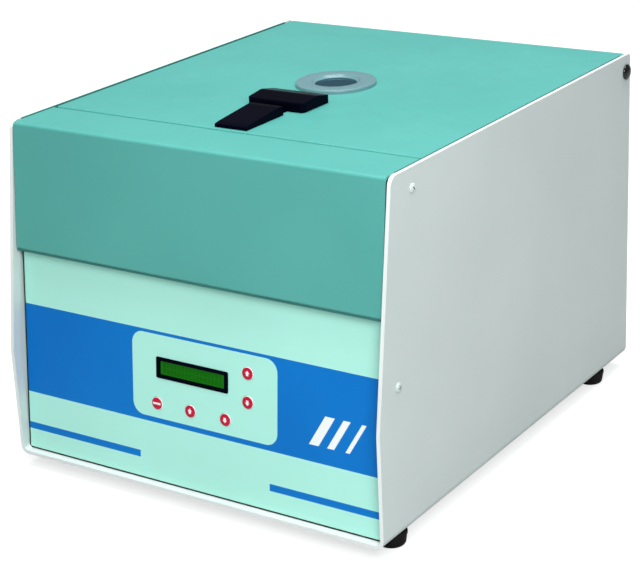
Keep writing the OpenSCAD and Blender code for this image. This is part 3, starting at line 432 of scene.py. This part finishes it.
# Plate lying on z = 0, in mm, with the inner outlines as holes
def flatShape(outlines, thickness):
    curve = bpy.data.curves.new("flatShape", "CURVE")
    curve.dimensions = "2D"
    curve.fill_mode = "BOTH"
    curve.extrude = thickness / 2 * mm
    for outline in outlines:
        spline = curve.splines.new("POLY")
        spline.points.add(len(outline) - 1)
        for point, (x, y) in zip(spline.points, outline):
            point.co = (x * mm, y * mm, 0, 1)
        spline.use_cyclic_u = True
    holder = bpy.data.objects.new("flatShape", curve)
    bpy.context.scene.collection.objects.link(holder)
    mesh = bpy.data.meshes.new_from_object(holder.evaluated_get(bpy.context.evaluated_depsgraph_get()))
    bpy.data.objects.remove(holder)
    bm = bmesh.new()
    bm.from_mesh(mesh)
    bmesh.ops.remove_doubles(bm, verts=bm.verts, dist=shaping["weld"])
    bmesh.ops.translate(bm, verts=bm.verts, vec=(0, 0, thickness / 2 * mm))
    bmesh.ops.recalc_face_normals(bm, faces=bm.faces)
    return bm


# Body with the cutter taken out of it
def carve(body, cutter):
    objs = []
    for bm, name in ((body, "carveBody"), (cutter, "carveTool")):
        obj = bpy.data.objects.new(name, meshOf(bm, name))
        bpy.context.scene.collection.objects.link(obj)
        objs.append(obj)
    cut = objs[0].modifiers.new("cut", "BOOLEAN")
    cut.operation = "DIFFERENCE"
    cut.solver = "EXACT"
    cut.object = objs[1]
    mesh = bpy.data.meshes.new_from_object(objs[0].evaluated_get(bpy.context.evaluated_depsgraph_get()))
    for obj in objs:
        bpy.data.objects.remove(obj)
    bm = bmesh.new()
    bm.from_mesh(mesh)
    bmesh.ops.remove_doubles(bm, verts=bm.verts, dist=shaping["weld"])
    return bm


def block(x0, x1, y0, y1, z0, z1):
    bm = bmesh.new()
    bmesh.ops.create_cube(bm, size=1.0)
    scale = Matrix.Diagonal(((x1 - x0) * mm, (y1 - y0) * mm, (z1 - z0) * mm, 1))
    centre = Vector(((x0 + x1) / 2 * mm, (y0 + y1) / 2 * mm, (z0 + z1) / 2 * mm))
    return placed(bm, Matrix.Translation(centre) @ scale)


# Case: wrap, cover, lid and panels with their folded edges, and a painted highlight on the wrap's hem
case = {
    # node: finish, edge width, segments, stretch of the grain
    "outer_wrap": ("casePaint", 0.7, 3), "front_cover": ("lidPaint", 0.3, 2),
    "lid_panel": ("lidPaint", 0.3, 4), "control_panel": ("panelPaint", 0.25, 2),
    "panel_film": ("filmPrint", 0.12, 1), "rear_panel": ("casePaint", 0.25, 2),
    "deck_plate": ("deckSteel", 0.4, 2, (1, 0.04, 1)), "lid_liner": ("deckSteel", 0.3, 2, (0.04, 1, 1)),
}
fold = {"lidBend": 1.3, "near": 0.4, "hemSide": 0.75, "hemUnder": -0.4, "hemBack": 0.5}


# The lid's outer folds are rounder than its cut edges
def lidEdgeSize(point):
    low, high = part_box("lid_panel")
    near = fold["near"] * mm
    onTop = abs(point.z - high.z) < near
    onSide = min(abs(point.x - low.x), abs(high.x - point.x)) < near
    onEnd = min(abs(point.y - low.y), abs(high.y - point.y)) < near
    if (onTop and (onSide or onEnd)) or (onSide and onEnd):
        return fold["lidBend"]
    return None


# Painted highlight: faces of the wrap not turned sideways, down or back, mostly the hem's edges, get a paler
# paint than the flat sides
def paintHemHighlight(obj):
    obj.data.materials.append(material("hemHighlightPaint"))
    for face in obj.data.polygons:
        x, y, z = face.normal
        if abs(x) < fold["hemSide"] and z > fold["hemUnder"] and y < fold["hemBack"]:
            face.material_index = 1


def makeCase(c):
    for node, row in c.items():
        special = lidEdgeSize if node == "lid_panel" else None
        obj = dressNode(node, *row, special=special)
        if node == "outer_wrap":
            paintHemHighlight(obj)


# Sizes of the dark strips that paint shade in the gaps beside the lid and under the cover
shadeStrips = {
    "over": 0.45, "reach": 1.2, "gap": 1.5, "proud": 0.15, "drop": 2.0, "round": 0.05,
    "lean": 5.8, "frontBack": 12.0, "rearBack": 14.0,
    "lipUp": 1.3, "lipDown": 0.35, "lipProud": 0.12, "lipDeep": 0.9, "lipEnd": 0.4,
}


# Dark strips on the hems' inner top edges, along the lid and the cover's strip: painted shade in the gap
# beside the lid
def shadeHemGaps(t):
    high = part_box("outer_wrap")[1]
    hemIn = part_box("lid_panel")[1].x / mm + t["gap"]
    coverLow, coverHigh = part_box("front_cover")
    slope = math.tan(math.radians(t["lean"])) * (coverHigh.z - coverLow.z)
    topFront = (coverLow.y + slope) / mm + t["frontBack"]
    rear, top = high.y / mm - t["rearBack"], high.z / mm
    strips = []
    for side in (-1, 1):
        x0, x1 = sorted((side * (hemIn - t["reach"]), side * (hemIn + t["over"])))
        strip = block(x0, x1, topFront, rear, top + t["round"] / 2, top + t["proud"])
        roundEdges(strip, list(filter(isEdge, strip.edges)), t["round"], 1)
        strips.append(strip)
        x0, x1 = sorted((side * (hemIn - t["reach"]), side * (hemIn - t["round"])))
        strips.append(block(x0, x1, topFront, rear, top - t["drop"], top + t["round"]))
    linkPiece("hemShadeStrip", meshOf(join(strips), "hemShadeStrip"), "housing", material("shadeStripPaint"))


# Dark strip on the cover's lower edge, leaning with the cover's face: painted shade under the cover's edge
def shadeCoverEdge(t):
    low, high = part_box("front_cover")
    half, y, z = high.x / mm - t["lipEnd"], low.y / mm, low.z / mm
    slope = math.tan(math.radians(t["lean"]))
    bm = block(-half, half, y - t["lipProud"], y + t["lipDeep"], z - t["lipDown"], z + t["lipUp"])
    for vert in bm.verts:
        vert.co.y += (vert.co.z - low.z) * slope
    linkPiece("coverShadeStrip", meshOf(bm, "coverShadeStrip"), "housing", material("shadeStripPaint"))


makeCase(case)
shadeHemGaps(shadeStrips)
shadeCoverEdge(shadeStrips)
print("case made")


# Printed film: blue band with its clear field, the lower stripes and three plain slanted bars
panel = {
    "lean": 5.43, "print": 0.04, "barPrint": 0.06, "cornerGap": 0.35,
    # the seal sizes below are for the black strip of painted shade around the panel's sides and foot
    "shadeWidth": 1.0, "shadeThick": 0.3, "shadeSide": 0.05, "shadeFoot": 0.1, "shadeTop": 1.0,
}
bandPrint = {
    "low": 55.8, "high": 135.8,
    "field": (-64.7, 81.7, 60.3, 133.1), "fieldCorner": 11.0,
    "stripe": (21.6, 27.6), "stripeEnds": (-58.0, 74.3),
    "barFrom": 112.0, "barStep": 17.0, "barWidths": (9.0, 6.5, 4.0), "barFoot": 70.0, "barTop": 96.0,
    "barSlant": 15.0,
}


# From the panel's own x, height and lift off its face to the row frame
def panelPlace(lift=0.0):
    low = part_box("panel_film")[0]
    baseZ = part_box("outer_wrap")[0].z
    lean = math.radians(panel["lean"])
    frontY = low.y - (low.z - baseZ) * math.tan(lean)
    return (Matrix.Translation((0, frontY, baseZ)) @ Matrix.Rotation(-lean, 4, "X")
            @ Matrix.Rotation(math.pi / 2, 4, "X") @ Matrix.Translation((0, 0, lift * mm)))


def rectangle(x0, x1, y0, y1):
    return [(x0, y0), (x1, y0), (x1, y1), (x0, y1)]


def printPanel(b):
    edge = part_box("panel_film")[1].x / mm - panel["cornerGap"]
    x0, x1, y0, y1 = b["field"]
    band = flatShape([rectangle(-edge, edge, b["low"], b["high"]),
                      roundedOutline(x0, x1, y0, y1, b["fieldCorner"], 10)], panel["print"])
    stripes = flatShape([rectangle(-edge, b["stripeEnds"][0], *b["stripe"]),
                         rectangle(b["stripeEnds"][1], edge, *b["stripe"])], panel["print"])
    bars = []
    for i, w in enumerate(b["barWidths"]):
        x, lowY, highY, slant = b["barFrom"] + i * b["barStep"], b["barFoot"], b["barTop"], b["barSlant"]
        bars.append([(x, lowY), (x + w, lowY), (x + w + slant, highY), (x + slant, highY)])
    white = flatShape(bars, panel["barPrint"])
    for name, bm, finishName in (("blueBand", band, "bluePrint"), ("blueStripes", stripes, "bluePrint"),
                                 ("whiteBars", white, "whitePrint")):
        linkPiece(name, meshOf(placed(bm, panelPlace()), name), "housing",
                  material(finishName))


# Black strip along the panel's sides and foot, where it meets the wrap: painted shade in the gap
def shadePanelGaps(p):
    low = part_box("panel_film")[0]
    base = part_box("outer_wrap")[0].z
    half = low.x / -mm - p["shadeSide"]
    foot = (low.z - base) / mm / math.cos(math.radians(p["lean"])) + p["shadeFoot"]
    top = (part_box("front_cover")[0].z - base) / mm - p["shadeTop"]
    w = p["shadeWidth"]
    outline = [(-half, foot), (half, foot), (half, top), (half - w, top), (half - w, foot + w),
               (w - half, foot + w), (w - half, top), (-half, top)]
    bm = placed(flatShape([outline], p["shadeThick"]), panelPlace())
    linkPiece("panelSeal", meshOf(bm, "panelSeal"), "housing", material("blackRubber"))


printPanel(bandPrint)
shadePanelGaps(panel)
print("panel printed")


# Display: bezel, green cell field and its 16 by 2 blank character places
display = {
    "bezelEdge": 0.3, "glassEdge": 0.1, "across": 16, "rows": 2, "cell": (3.2, 4.5), "pitch": (3.8, 5.1),
    "lift": -0.17, "thick": 0.02,
}


def makeDisplay(d):
    dressNode("display_bezel", "blackGloss", d["bezelEdge"], 3)
    dressNode("display_glass", "displayGreen", d["glassEdge"], 1)
    bezelLow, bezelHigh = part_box("display_bezel")
    place = panelPlace(d["lift"])
    centre = place.inverted() @ ((bezelLow + bezelHigh) / 2)
    cells = []
    for row in range(d["rows"]):
        for i in range(d["across"]):
            x = centre.x / mm + (i - (d["across"] - 1) / 2) * d["pitch"][0]
            y = centre.y / mm + (row - (d["rows"] - 1) / 2) * d["pitch"][1]
            w, h = d["cell"]
            cells.append(rectangle(x - w / 2, x + w / 2, y - h / 2, y + h / 2))
    bm = placed(flatShape(cells, d["thick"]), place)
    linkPiece("displayCells", meshOf(bm, "displayCells"), "housing", material("displayCell"))


makeDisplay(display)
print("display made")


# Keys: crowned caps with a white mark each
keys = {
    "radius": 5.5, "proud": 0.9, "crown": 0.35, "round": 0.5, "rimShare": 0.6,
    "stem": (2.0, -8.0), "flange": (1.0, -3.0, -2.4), "around": 64,
    "dome": ((0.66, 0.34), (0.33, 0.08)),      # share of the radius, share of the crown
    "bar": (3.9, 0.85, 0.5), "arrow": ((0, 2.5), (2.15, 0.2), (1.15, 0.2), (1.15, -1.9)),
    "markThick": 0.12, "markLift": 0.03,
    "places": {"stop": (-39.2, 73), "start": (-4.9, 73), "menu": (30.6, 73),
               "up": (53, 116.8), "down": (53, 92.3)},
    "marks": {"stop": "bar", "start": "up", "menu": "down", "up": "up", "down": "down"},
}


# Broad arrow from its right half, its tip up for sign 1
def arrowOutline(half, sign):
    points = list(half) + [(-x, y) for x, y in half[:0:-1]]
    return [(x, sign * y) for x, y in points][::sign]


def makeKeys(k):
    long, wide, corner = k["bar"]
    outlines = {"bar": roundedOutline(-long, long, -wide, wide, corner, 4),
                "up": arrowOutline(k["arrow"], 1), "down": arrowOutline(k["arrow"], -1)}
    r, top, shoulder = k["radius"], k["proud"], k["proud"] - k["crown"] - k["round"]
    stem, deep = k["stem"]
    out, flangeLow, flangeTop = k["flange"]
    profile = ([(0, deep), (stem, deep), (stem, flangeLow), (r + out, flangeLow), (r + out, flangeTop),
                (r, flangeTop), (r, shoulder)]
               + arc(r - k["round"], shoulder, k["round"], 0, 70, 5)[1:]
               + [(r * across, top - k["crown"] * down) for across, down in k["dome"]] + [(0, top)])
    for name, (x, y) in k["places"].items():
        at = panelPlace() @ Matrix.Translation((x * mm, y * mm, 0))
        body, node = name + "_key", "key_" + name
        bm = placed(lathe(profile, k["around"]), at)
        cap = linkPiece(name + "KeyCap", meshOf(bm, name), body, material("keyRed"))
        cap.data.materials.append(material("whitePrint"))
        axis = at.translation
        for face in cap.data.polygons:
            off = face.center - axis
            across = math.hypot(off.x, (at.inverted() @ face.center).y)
            face.material_index = 1 if across > (r - k["round"] * k["rimShare"]) * mm else 0
        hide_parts(node)
        mark = flatShape([outlines[k["marks"][name]]], k["markThick"])
        bmesh.ops.subdivide_edges(mark, edges=mark.edges, cuts=1, use_grid_fill=True)
        lift = Matrix.Translation((0, 0, (top - k["crown"] * k["dome"][0][1] + k["markLift"]) * mm))
        linkPiece(name + "KeyMark", meshOf(placed(mark, at @ lift), name), body,
                  material("keyMark"))


makeKeys(keys)
print("keys made")


# Screws: low pan heads with a cross recess
screw = {
    "head": 4.0, "height": 2.2, "rim": 0.45, "chamfer": 0.15, "dome": (12, 7), "around": 40,
    "crossWidth": 1.0, "crossLength": 4.6, "crossDepth": 1.3, "cutter": 3.0,
    # the lining sizes below are for the black cross that paints shade on the recess's floor
    "shadeGap": 0.02, "shadeShare": 0.5, "shadeLift": 0.01,
    "turnFirst": 0.3, "turnSide": 0.5,      # radians, so that no two crosses stand alike
}


# Cross with arms of half width w and half length l
def crossOutline(w, l):
    return [(-w, -l), (w, -l), (w, -w), (l, -w), (l, w), (w, w), (w, l), (-w, l),
            (-w, w), (-l, w), (-l, -w), (-w, -w)]


# Head standing on z = 0 with its recess upwards
def screwHead(s, scale=1.0):
    r, h = s["head"] * scale, s["height"] * scale
    rim, chamfer = s["rim"] * scale, s["chamfer"]
    profile = [(0, 0), (r - chamfer, 0), (r, chamfer), (r, rim)] + domePoints(r, rim, h, *s["dome"])
    w, l, d = s["crossWidth"] * scale / 2, s["crossLength"] * scale / 2, s["crossDepth"] * scale
    cutter = placed(flatShape([crossOutline(w, l)], s["cutter"]), Matrix.Translation((0, 0, (h - d) * mm)))
    return carve(lathe(profile, s["around"]), cutter)


# Black cross on the recess's floor: painted shade in the screw's recess
def screwRecessShade(s, scale=1.0):
    w, l, d = s["crossWidth"] * scale / 2, s["crossLength"] * scale / 2, s["crossDepth"] * scale
    bm = flatShape([crossOutline(w - s["shadeGap"], l - s["shadeGap"])], d * s["shadeShare"])
    return placed(bm, Matrix.Translation((0, 0, (s["height"] * scale - d + s["shadeLift"]) * mm)))


# Turns +Z to a direction, after a spin about +Z
def facing(direction, spin=0.0):
    return Vector(direction).to_track_quat("Z", "Y").to_matrix().to_4x4() @ Matrix.Rotation(spin, 4, "Z")


def makeScrews(s):
    low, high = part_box("case_screws")
    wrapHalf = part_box("outer_wrap")[1].x
    heads, crosses = [], []
    for side in (-1, 1):
        for i, (y, z) in enumerate(((high.y, high.z), (low.y, low.z))):
            inward = (-1 if i == 0 else 1) * s["head"] * mm
            at = Matrix.Translation((side * wrapHalf, y + inward, z + inward))
            turned = at @ facing((side, 0, 0), s["turnFirst"] + side * s["turnSide"] + i)
            heads.append(placed(screwHead(s), turned))
            crosses.append(placed(screwRecessShade(s), turned))
    obj = linkPiece("caseScrewHeads", meshOf(join(heads), "heads"), "housing",
                    material("casePaint"))
    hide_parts("case_screws")
    # black crosses in the recesses: painted shade
    linkPiece("caseScrewRecessShade", meshOf(join(crosses), "crosses"), "housing",
              material("blackPlastic"))


makeScrews(screw)
print("side screws made")


# Hinge caps, feet and the sight port
hingeCap = {"radius": 7.0, "proud": 3.5, "rim": 0.9, "chamfer": 0.3, "dome": (9, 9), "around": 64}
foot = {
    "radius": 13.0, "height": 12.0, "bore": 5.0, "recess": 3.0, "boreChamfer": 0.4, "sole": 4.2,
    "inset": 4.4, "round": 3.2, "draft": 0.4, "neck": 2.4, "topChamfer": 0.5, "around": 64,
    "screwScale": 0.9, "screwSunk": 2.98,
}
port = {
    "fit": 0.05, "round": 1.4, "slope": 3.4, "bend": 1.0, "lipOut": 0.9, "lipHigh": 1.6, "lipLow": 1.3,
    "paneChamfer": 0.4, "ringAround": 128, "paneAround": 96,
}


def makeHingeCaps(c):
    low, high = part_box("hinge_caps")
    y, z = (low.y + high.y) / 2, (low.z + high.z) / 2
    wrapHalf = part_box("outer_wrap")[1].x
    r, rim, chamfer = c["radius"], c["rim"], c["chamfer"]
    profile = ([(0, 0), (r - chamfer, 0), (r, chamfer), (r, rim)]
               + domePoints(r, rim, c["proud"], *c["dome"]))
    caps = []
    for side in (-1, 1):
        at = Matrix.Translation((side * wrapHalf, y, z)) @ facing((side, 0, 0))
        caps.append(placed(lathe(profile, c["around"]), at))
    obj = linkPiece("hingeCapsFinished", meshOf(join(caps), "caps"), "housing",
                    material("capGloss"))
    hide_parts("hinge_caps")


def makeFeet(c):
    low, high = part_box("rubber_feet")
    r, h, bore, bend, chamfer = c["radius"], c["height"], c["bore"], c["round"], c["topChamfer"]
    profile = ([(0, c["recess"]), (bore, c["recess"]), (bore, c["boreChamfer"]),
                (bore + c["boreChamfer"], 0), (r - c["sole"], 0)]
               + arc(r - c["inset"], bend, bend, -90, -20, 6)[1:]
               + [(r - c["draft"], h - bend), (r, h - c["neck"]), (r, h - chamfer), (r - chamfer, h), (0, h)])
    feet, screws = [], []
    for x in (low.x + r * mm, high.x - r * mm):
        for y in (low.y + r * mm, high.y - r * mm):
            feet.append(placed(lathe(profile, c["around"]), Matrix.Translation((x, y, 0))))
            up = Matrix.Translation((x, y, c["screwSunk"] * mm)) @ Matrix.Rotation(math.pi, 4, "X")
            screws.append(placed(screwHead(screw, c["screwScale"]), up))
    obj = linkPiece("rubberFeetFinished", meshOf(join(feet), "feet"), "housing",
                    material("blackRubber"))
    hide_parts("rubber_feet")
    linkPiece("footScrews", meshOf(join(screws), "footScrews"), "housing",
              material("brightSteel"))


def makePort(p):
    low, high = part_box("port_disc")
    centre = Vector(((low.x + high.x) / 2, (low.y + high.y) / 2, low.z))
    outer = (high.x - low.x) / 2 / mm
    windowLow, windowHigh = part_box("port_window")
    bore = (windowHigh.x - windowLow.x) / 2 / mm
    tall = (high.z - low.z) / mm
    r, bend, slope, fit = p["round"], p["bend"], bore + p["slope"], bore + p["fit"]
    ring = ([(fit, 0), (outer, 0)] + arc(outer - r, tall - r, r, 0, 90, 6)
            + [(slope, tall)] + arc(slope, tall - bend, bend, 90, 150, 3)
            + [(bore + p["lipOut"], p["lipHigh"]), (fit, p["lipLow"])])
    bm = placed(lathe(ring, p["ringAround"]), Matrix.Translation(centre))
    obj = linkPiece("portDiscFinished", meshOf(bm, "ring"), "lid", material("portPlastic"))
    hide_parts("port_disc")
    thick = (windowHigh.z - windowLow.z) / mm
    chamfer = p["paneChamfer"]
    pane = [(0, 0), (bore, 0), (bore, thick - chamfer), (bore - chamfer, thick), (0, thick)]
    bm = placed(lathe(pane, p["paneAround"]), Matrix.Translation((centre.x, centre.y, windowLow.z)))
    obj = linkPiece("portWindowFinished", meshOf(bm, "pane"), "lid", material("portGlass"))
    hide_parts("port_window")


makeHingeCaps(hingeCap)
makeFeet(foot)
makePort(port)
print("caps, feet and port made")


# Latch: moulded slab, thumb grip, plated bolt and its guide
latch = {
    # node: finish, edge width, segments
    "latch_slab": ("blackGloss", 0.9, 4), "latch_grip": ("blackGloss", 1.0, 4),
    "latch_bolt": ("brightSteel", 0.3, 2), "bolt_guide": ("deckSteel", 0.3, 2),
}
for node, row in latch.items():
    dressNode(node, *row)
print("latch made")


# Chamber and rotor
chamber = {
    "around": 192, "wall": 1.5, "hub": 15.0, "flange": 10.5, "corner": 12.0, "lipBend": 2.0,
    "gasketInset": 1.1, "gasketRound": 1.2, "gasketBead": 3.2, "gasketDip": 1.0,
    "grain": (0.2, 0.2, 6),
}


def makeChamber(c):
    low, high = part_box("chamber_bowl")
    centre = Vector(((low.x + high.x) / 2, (low.y + high.y) / 2, 0))
    rim = (high.x - low.x) / 2 / mm
    wall, hub, bend, inner = c["wall"], c["hub"], c["lipBend"], rim - c["flange"]
    top, floor = high.z / mm, low.z / mm + wall
    outBend, inBend = c["corner"], c["corner"] - wall
    profile = ([(hub, floor - wall)]
               + arc(inner + wall - outBend, floor - wall + outBend, outBend, -90, 0, 8)
               + [(inner + wall, top - wall)]
               + arc(rim - wall / 2, top - wall / 2, wall / 2, -90, 90, 6) + [(inner + bend, top)]
               + arc(inner + bend, top - bend, bend, 90, 180, 5)
               + arc(inner - inBend, floor + inBend, inBend, 0, -90, 8) + [(hub, floor)])
    bm = placed(lathe(profile, c["around"]), Matrix.Translation(centre))
    bowl = linkPiece("chamberBowlFinished", meshOf(bm, "bowl"), "housing",
                     material("bowlSteel", c["grain"]))
    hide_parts("chamber_bowl")
    low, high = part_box("chamber_gasket")
    z0, z1 = low.z / mm, high.z / mm
    r0, r1 = inner + c["gasketInset"], rim
    r, bead, dip = c["gasketRound"], c["gasketBead"], c["gasketDip"]
    lip = ([(r0, z0), (r1, z0)] + arc(r1 - r, z1 - r, r, 0, 90, 5)
           + [(r1 - bead, z1), (r1 - bead - dip, z1 - dip)]
           + [(r0 + bead + dip, z1 - dip), (r0 + bead, z1)] + arc(r0 + r, z1 - r, r, 90, 180, 5))
    bm = placed(lathe(lip, c["around"]), Matrix.Translation(centre))
    gasket = linkPiece("chamberGasketFinished", meshOf(bm, "gasket"), "housing",
                       material("blackRubber"))
    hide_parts("chamber_gasket")


rotor = {
    "holders": 6, "body": ("castAlloy", 0.5, 3), "knob": ("blackPlastic", 0.6, 3),
    "clip": ("brightSteel", 0.3, 2), "sample": ("whitePlastic", 0.5, 3),
}


def makeRotor(r):
    dressNode("rotor_body", *r["body"])
    dressNode("rotor_knob", *r["knob"])
    for number in range(1, r["holders"] + 1):
        dressNode(f"slide_clip_{number}", *r["clip"])
        dressNode(f"sample_chamber_{number}", *r["sample"])


makeChamber(chamber)
makeRotor(rotor)
print("chamber and rotor made")


# Rear: rocker, fuse holder and the mains inlet, whose contacts get a brass skin
rear = {
    # node: finish, edge width, segments
    "power_inlet": ("blackPlastic", 0.35, 3), "switch_frame": ("blackPlastic", 0.35, 3),
    "fuse_holder": ("blackPlastic", 0.35, 3), "switch_rocker": ("switchGreen", 0.35, 3),
}
contact = {"places": ((-7, -2), (7, -2), (0, 2)), "half": (1.05, 2.05), "depth": (16.95, 5.9)}


def makeContacts(c):
    low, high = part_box("power_inlet")
    x, z = (low.x + high.x) / 2 / mm, (low.z + high.z) / 2 / mm
    pins = []
    for dx, dz in c["places"]:
        w, h = c["half"]
        deep, near = (high.y / mm - depth for depth in c["depth"])
        pins.append(block(x + dx - w, x + dx + w, deep, near, z + dz - h, z + dz + h))
    linkPiece("inletContacts", meshOf(join(pins), "inletContacts"), "housing",
              material("brass"))


for node, row in rear.items():
    dressNode(node, *row)
makeContacts(contact)
print("rear made")


# Pieces inside the case keep their CAD shape and get their finish
inside = {
    "display_board": "circuitBoard", "control_board": "circuitBoard", "power_board": "circuitBoard",
    "motor_plate": "deckSteel", "motor_mounts": "blackRubber", "motor_housing": "motorPaint",
    "motor_end_bells": "castAlloy", "motor_bearings": "brightSteel", "shaft_boot": "blackRubber",
    "transformer": "motorPaint", "hinge_pins": "brightSteel", "lid_lock": "blackPlastic",
    "port_sleeve": "whitePlastic", "motor_shaft": "brightSteel",
}


def finishNode(node, finishName):
    mesh = nodes[node].data
    mesh.materials.clear()
    mesh.materials.append(material(finishName))


for node, finishName in inside.items():
    finishNode(node, finishName)
print("inner pieces finished")
